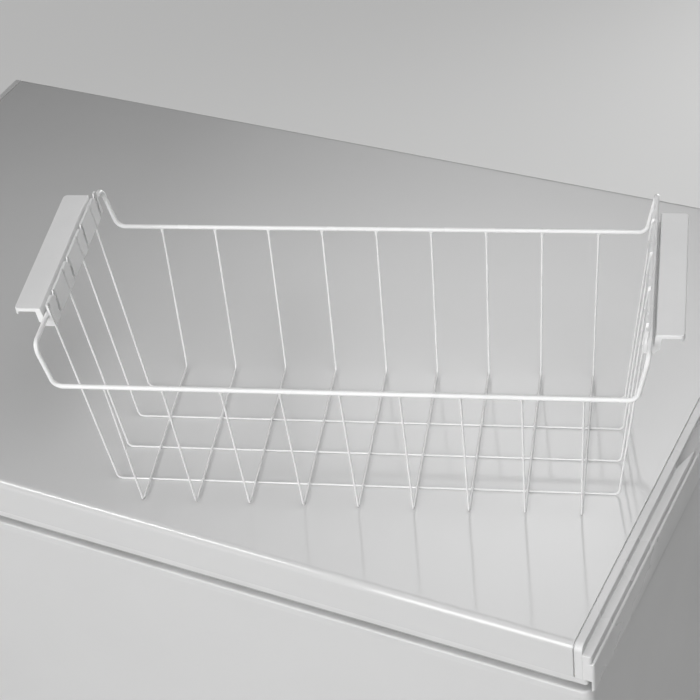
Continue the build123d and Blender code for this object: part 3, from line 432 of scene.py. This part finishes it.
dial_print = bmesh.new()
for step in range(dial_steps):
    turn = dial_place @ Matrix.Rotation(-step * dial_turn, 4, "Z")
    tick_place = turn @ Matrix.Translation((0, (tick_inner + tick_outer) / 2, print_depth / 2))
    printed_bar(dial_print, tick_place, tick_width, tick_outer - tick_inner)
    outline = bpy.data.curves.new(f"dial_number_{step}", "FONT")
    outline.body = str(step)
    outline.size = number_height
    outline.align_x = "CENTER"
    outline.align_y = "CENTER"
    outline.extrude = print_depth / 2
    number = bpy.data.objects.new(outline.name, outline)
    bpy.context.scene.collection.objects.link(number)
    bpy.context.view_layer.update()
    filled_number = number.evaluated_get(bpy.context.evaluated_depsgraph_get())
    number_mesh = bpy.data.meshes.new_from_object(filled_number)
    number_place = turn @ Matrix.Translation((0, number_radius, print_depth / 2))
    number_mesh.transform(number_place @ Matrix.Rotation(step * dial_turn, 4, "Z"))
    dial_print.from_mesh(number_mesh)
    bpy.data.objects.remove(number)
    bpy.data.meshes.remove(number_mesh)
for arm in range(star_arms):
    arm_turn = Matrix.Rotation(arm * math.pi / star_arms, 4, "Z")
    arm_place = star_place @ arm_turn @ Matrix.Translation((0, 0, print_depth / 2))
    printed_bar(dial_print, arm_place, star_bar, 2 * star_reach)
piece("dial_print", dial_print, pad_print, "cabinet")

# Thermostat knob and rocker: white mouldings, the knob pushed onto the thermostat's shaft and the
# rocker snapped into its housing. The knob's grip carries a printed pointer.
pointer_width = 0.0018
pointer_length = 0.0085
pointer_middle = 0.0125

control_moulding = moulding(
    "control_moulding", moulding_white, moulding_shade, roughness=(0.3, 0.42), grain=(0.0006, 0.00002)
)
dress(control_moulding, "thermostat_knob", "fast_freeze_rocker")
pointer = bmesh.new()
grip_place = Matrix.Translation((knob_middle.x, knob_low.y, knob_middle.z)) @ facing_front
pointer_place = grip_place @ Matrix.Translation((0, pointer_middle, print_depth / 2))
printed_bar(pointer, pointer_place, pointer_width, pointer_length)
piece("knob_pointer", pointer, pad_print, "thermostat")

# Indicator lamps: lenses of coloured plastic pushed through the bezel. Fine ribs moulded inside each
# lens spread the lamp's light.
lens_colours = {
    "power_lamp": (0.04, 0.42, 0.09, 1),
    "fast_freeze_lamp": (0.80, 0.46, 0.03, 1),
    "alarm_lamp": (0.55, 0.02, 0.02, 1),
}
lens_roughness = 0.12
lens_coat = 0.5
lens_deep_share = 0.45
lens_rib_scale = 375.0
for lamp_name, colour in lens_colours.items():
    lens = Finish(lamp_name + "_lens", {"Roughness": lens_roughness, "Coat Weight": lens_coat})
    deep = tuple(lens_deep_share * channel for channel in colour[:3]) + (1,)
    ribs = lens.node(
        "TexWave", {"bands_direction": "DIAGONAL"}, {"Vector": lens.place, "Scale": lens_rib_scale}, "Fac"
    )
    lens.set({"Base Color": lens.blend(ribs, colour, deep)})
    dress(lens, lamp_name)

# Defrost drain: a white moulded tube through the foam. A cap is pushed onto its spout outside, and a
# plug closes its mouth in the tank's floor.
drain_moulding = moulding(
    "drain_moulding", moulding_white, moulding_shade, roughness=(0.38, 0.5), grain=(0.0008, 0.00003)
)
dress(drain_moulding, "drain_tube", "drain_cap", "drain_plug")

# Rollers: hard black plastic wheels at the back, turning on steel axles, scuffed pale from running
# over floors.
roller_black = (0.03, 0.03, 0.031, 1)
roller_scuff = (0.12, 0.115, 0.11, 1)
roller_moulding = moulding(
    "roller_moulding", roller_black, roller_scuff, roughness=(0.45, 0.7), grain=(0.0015, 0.00006)
)
dress(roller_moulding, "left_roller", "right_roller")

# Hinges: pressed steel brackets and leaves in off-white enamel, steel pins, plastic friction bushes
# and plated pan-head screws.
hinge_pale = (0.74, 0.75, 0.75, 1)
hinge_shade = (0.66, 0.67, 0.68, 1)
bush_pale = (0.05, 0.05, 0.052, 1)
bush_shade = (0.08, 0.08, 0.082, 1)

hinge_enamel = enamel("hinge_enamel", hinge_pale, hinge_shade, roughness=(0.34, 0.48))
dress(hinge_enamel, "hinge_brackets", "hinge_leaves")
dress(plated_steel, "hinge_pins", "cabinet_hinge_screws", "lid_hinge_screws")
bush_moulding = moulding(
    "bush_moulding", bush_pale, bush_shade, roughness=(0.4, 0.55), grain=(0.0008, 0.00003)
)
dress(bush_moulding, "hinge_bushes")

# Lid: a folded steel skin in glossy white enamel over foam. Moulded end caps with a lip, a ledge, a
# foot and a scooped grip close its ends.
lid_white = (0.70, 0.70, 0.70, 1)
lid_shade = (0.66, 0.66, 0.66, 1)
lid_ior = 1.7
cap_white = (0.79, 0.79, 0.79, 1)
cap_shade = (0.75, 0.75, 0.75, 1)

lid_enamel = enamel("lid_enamel", lid_white, lid_shade, roughness=(0.06, 0.11), ior=lid_ior)
dress(lid_enamel, "lid_skin")
cap_moulding = moulding(
    "cap_moulding", cap_white, cap_shade, roughness=(0.26, 0.36), grain=(0.0009, 0.00002)
)
dress(cap_moulding, "lid_end_cap_left", "lid_end_cap_right")

# Lid liner: a vacuum-formed tray of white sheet plastic that closes the lid's underside below the foam.
# A raised field stiffens its middle.
liner_low, liner_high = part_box("lid_liner")
field_inset = 0.085
field_depth = 0.0012
field_corner = 0.03
field_rim = 0.00096
liner_moulding = moulding(
    "liner_moulding", moulding_white, moulding_shade, roughness=(0.36, 0.5), grain=(0.0022, 0.00012)
)
dress(liner_moulding, "lid_liner")
field = bmesh.new()
liner_middle = (liner_low + liner_high) / 2
field_width = liner_high.x - liner_low.x - 2 * field_inset
field_length = liner_high.y - liner_low.y - 2 * field_inset
field_size = Matrix.Diagonal((field_width, field_length, 2 * field_depth, 1))
field_place = Matrix.Translation((liner_middle.x, liner_middle.y, liner_low.z))
bmesh.ops.create_cube(field, size=1.0, matrix=field_place @ field_size)
upright_edges = [edge for edge in field.edges if edge.calc_length() < 3 * field_depth]
round_edges(field, upright_edges, field_corner, steps=8)
rim_height = liner_low.z - field_depth / 2
low_rim = [edge for edge in field.edges if max(corner.co.z for corner in edge.verts) < rim_height]
round_edges(field, low_rim, field_rim, steps=3)
piece("lid_liner_field", field, liner_moulding, "lid")

# Gasket: a soft grey vinyl extrusion round the lid. Its top is pushed into the lid, a bellows folds
# as the lid comes down, and the hollow foot holds a magnetic strip against the collar.
gasket_low, gasket_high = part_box("lid_gasket")
gasket_corner = 0.02
gasket_width = 0.015
fold_inset = 0.0028
bead_inset = 0.0004
foot_inset = 0.0006
upper_fold_share = 0.8
bead_share = 0.58
lower_fold_share = 0.42
foot_share = 0.3
corner_steps = 8
weld_distance = 0.00002
gasket_pale = (0.52, 0.53, 0.53, 1)
gasket_dirt = (0.36, 0.36, 0.355, 1)

vinyl = moulding("gasket_vinyl", gasket_pale, gasket_dirt, roughness=(0.45, 0.62), grain=(0.0011, 0.00003))
gasket_height = gasket_high.z - gasket_low.z
outer_side = [
    (0, 1),
    (fold_inset, upper_fold_share),
    (bead_inset, bead_share),
    (fold_inset / 2, lower_fold_share),
    (foot_inset, foot_share),
    (foot_inset, 0),
]
inner_side = [(gasket_width - inset, share) for inset, share in reversed(outer_side)]
left_x = gasket_low.x + gasket_corner
right_x = gasket_high.x - gasket_corner
front_y = gasket_low.y + gasket_corner
back_y = gasket_high.y - gasket_corner
gasket = bmesh.new()
ring = [
    gasket.verts.new((left_x, gasket_low.y + inset, gasket_low.z + share * gasket_height))
    for inset, share in outer_side + inner_side
]
loop = [gasket.edges.new((ring[k - 1], ring[k])) for k in range(len(ring))]
side_runs = [
    (Vector((right_x - left_x, 0, 0)), Vector((right_x, front_y, 0))),
    (Vector((0, back_y - front_y, 0)), Vector((right_x, back_y, 0))),
    (Vector((left_x - right_x, 0, 0)), Vector((left_x, back_y, 0))),
    (Vector((0, front_y - back_y, 0)), Vector((left_x, front_y, 0))),
]
for run, corner_middle in side_runs:
    pulled = bmesh.ops.extrude_edge_only(gasket, edges=loop)["geom"]
    moved = [item for item in pulled if isinstance(item, bmesh.types.BMVert)]
    bmesh.ops.translate(gasket, verts=moved, vec=run)
    end = moved + [item for item in pulled if isinstance(item, bmesh.types.BMEdge)]
    turned = bmesh.ops.spin(
        gasket,
        geom=end,
        cent=corner_middle,
        axis=(0, 0, 1),
        angle=quarter_turn,
        steps=corner_steps,
        use_merge=False,
        use_duplicate=False,
    )["geom_last"]
    loop = [item for item in turned if isinstance(item, bmesh.types.BMEdge)]
bmesh.ops.remove_doubles(gasket, verts=gasket.verts[:], dist=weld_distance)
bmesh.ops.recalc_face_normals(gasket, faces=gasket.faces[:])
bellows = piece("gasket_bellows", gasket, vinyl, "lid", crease=50)
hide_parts("lid_gasket")

# Basket: drawn steel wire, resistance welded at each crossing and dipped in white plastic. The coating
# runs together at the welds, so the joints are filled out and the thin wires flare into the rim.
coat_white = (0.94, 0.94, 0.94, 1)
coat_shade = (0.90, 0.90, 0.90, 1)
basket_turn = math.radians(17.32)
wire_radius = 0.0009
cross_pitch = 0.048
cross_pitch_at_rim = 0.0495
cross_count = 9
long_pitch = 0.042
long_count = 4
foot_reach = 0.0928
foot_height = 0.0015
top_reach = 0.1118
top_height = 0.148
flare_length = 0.006
flare_start = 1.02 * wire_radius
flare_mouth = 0.0016
flare_sides = 14
joint_radius = 0.0016
joint_lift = 0.00075
joint_sides = 12
joint_rings = 8

coating = moulding("dipped_coating", coat_white, coat_shade, roughness=(0.22, 0.34), grain=(0.0016, 0.00004))
dress(coating, "basket_rim", "basket_cross_wires", "basket_long_wires")
rim_low, rim_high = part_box("basket_rim")
rim_middle = (rim_low + rim_high) / 2
floor_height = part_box("basket_long_wires")[0].z + wire_radius
basket_middle = Vector((rim_middle.x, rim_middle.y, floor_height))
basket_place = Matrix.Translation(basket_middle) @ Matrix.Rotation(basket_turn, 4, "Z")
welds = bmesh.new()
for column in range(cross_count):
    from_middle = column - (cross_count - 1) / 2
    for side in (-1, 1):
        foot = Vector((from_middle * cross_pitch, side * foot_reach, foot_height))
        top = Vector((from_middle * cross_pitch_at_rim, side * top_reach, top_height))
        rise = (top - foot).normalized()
        flare_turn = rise.to_track_quat("Z", "Y").to_matrix().to_4x4()
        bmesh.ops.create_cone(
            welds,
            cap_ends=True,
            segments=flare_sides,
            radius1=flare_start,
            radius2=flare_mouth,
            depth=flare_length,
            matrix=basket_place @ Matrix.Translation(top - rise * flare_length / 2) @ flare_turn,
        )
    for row in range(long_count):
        long_y = (row - (long_count - 1) / 2) * long_pitch
        bmesh.ops.create_uvsphere(
            welds,
            u_segments=joint_sides,
            v_segments=joint_rings,
            radius=joint_radius,
            matrix=basket_place @ Matrix.Translation((from_middle * cross_pitch, long_y, joint_lift)),
        )
piece("basket_welds", welds, coating, "basket", crease=40)

# Hangers: white injection mouldings clipped over the basket's end wires, which hang the basket from
# the collar's ledge. Their grain is a little duller than the wires' coating.
hanger_white = (0.89, 0.89, 0.89, 1)
hanger_shade = (0.84, 0.84, 0.84, 1)
hanger_moulding = moulding(
    "hanger_moulding", hanger_white, hanger_shade, roughness=(0.38, 0.5), grain=(0.0012, 0.00004)
)
dress(hanger_moulding, "basket_hanger_left", "basket_hanger_right")

# Floor: a plain pale studio floor under the feet, wide enough to fill every view. Half of what the
# camera and mirrored rays see of it is its own glow, so it stays pale and still takes the shadow.
floor_reach = 30.0
floor_patch = 0.8
floor_roughness = 0.85
floor_pale = (0.72, 0.72, 0.715, 1)
floor_shade = (0.69, 0.69, 0.685, 1)
floor_glow = (0.85, 0.85, 0.845, 1)
glow_share = 0.5
floor_shape = bmesh.new()
bmesh.ops.create_grid(floor_shape, x_segments=2, y_segments=2, size=floor_reach)
floor_mesh = bpy.data.meshes.new("studio_floor")
floor_shape.to_mesh(floor_mesh)
floor_shape.free()
floor = bpy.data.objects.new("studio_floor", floor_mesh)
bpy.context.scene.collection.objects.link(floor)
screed = Finish("studio_floor", {"Roughness": floor_roughness})
screed.set({"Base Color": screed.blend(screed.noise(floor_patch, detail=3.0), floor_pale, floor_shade)})
camera_ray = screed.node("LightPath", {}, {}, "Is Camera Ray")
light_path = camera_ray.socket.node
mirrored_ray = Signal(screed, light_path.outputs["Is Glossy Ray"])
passed_ray = Signal(screed, light_path.outputs["Is Transmission Ray"])
glow_factor = glow_share * (camera_ray + mirrored_ray + passed_ray)
lit_floor = Signal(screed, screed.shader.outputs["BSDF"])
glowing_floor = screed.node("Emission", {}, {"Color": floor_glow})
seen_floor = screed.node("MixShader", {}, {0: glow_factor, 1: lit_floor, 2: glowing_floor})
screed.join(screed.tree.nodes["Material Output"].inputs["Surface"], seen_floor)
floor_mesh.materials.append(screed.material)

# Light: a soft box high over the right-hand end and a broad one that the lid mirrors, both with grids so
# that their light falls off towards the far end, a gridded strip for the gleam along the lid's front
# edge, broad boxes in front, behind and at the left, and the room's even grey.
room_grey = (0.02, 0.02, 0.02, 1)


def soft_box(name, place, aim, size, watts, spread):
    """Adds a soft box that faces a point. A spread under 180 degrees is that of a grid over the box."""
    box = bpy.data.lights.new(name, "AREA")
    box.shape = "RECTANGLE"
    box.size, box.size_y = size
    box.energy = watts
    box.spread = math.radians(spread)
    lamp = bpy.data.objects.new(name, box)
    lamp.location = place
    lamp.rotation_euler = (Vector(aim) - Vector(place)).to_track_quat("-Z", "Y").to_euler()
    lamp.visible_camera = False
    bpy.context.scene.collection.objects.link(lamp)


soft_box(
    "over_box", place=(0.95, -0.45, 2.25), aim=(0.35, -0.08, 0.85), size=(1.4, 1.4), watts=3.1, spread=60
)
soft_box(
    "mirror_box", place=(-0.30, 1.37, 2.35), aim=(0.30, -0.12, 0.85), size=(2.0, 2.0), watts=0.85, spread=30
)
soft_box(
    "edge_strip", place=(-1.15, -1.25, 2.60), aim=(-0.07, -0.30, 0.85), size=(1.3, 0.3), watts=1.3, spread=60
)
soft_box("front_box", place=(0.2, -3.0, 1.6), aim=(0.1, 0.0, 0.7), size=(2.0, 2.0), watts=58.0, spread=180)
soft_box("back_box", place=(0.2, 2.8, 0.55), aim=(0.0, 0.0, 0.45), size=(0.8, 0.8), watts=9.5, spread=90)
soft_box("left_box", place=(-2.8, -0.2, 0.55), aim=(0.0, 0.0, 0.45), size=(0.8, 0.8), watts=6.5, spread=90)
room = bpy.data.worlds.new("studio_room")
room.use_nodes = True
room.node_tree.nodes["Background"].inputs["Color"].default_value = room_grey
bpy.context.scene.world = room

# Camera: over the right front corner, looking down across the lid, tipped a little clockwise. Its long
# lens keeps the basket's wires nearly parallel.
camera_place = Vector((0.8630, -1.3166, 2.05))
camera_heading = math.radians(30.0)
camera_drop = math.radians(38.87)
camera_tip = math.radians(6.8)
camera_lens = 103.45
camera_sensor = 36.0
camera_data = bpy.data.cameras.new("photo_camera")
camera_data.lens = camera_lens
camera_data.sensor_width = camera_sensor
camera = bpy.data.objects.new("photo_camera", camera_data)
camera.matrix_world = (
    Matrix.Translation(camera_place)
    @ Matrix.Rotation(camera_heading, 4, "Z")
    @ Matrix.Rotation(quarter_turn - camera_drop, 4, "X")
    @ Matrix.Rotation(-camera_tip, 4, "Z")
)
bpy.context.scene.collection.objects.link(camera)
bpy.context.scene.camera = camera
bpy.context.scene.view_settings.view_transform = "Standard"
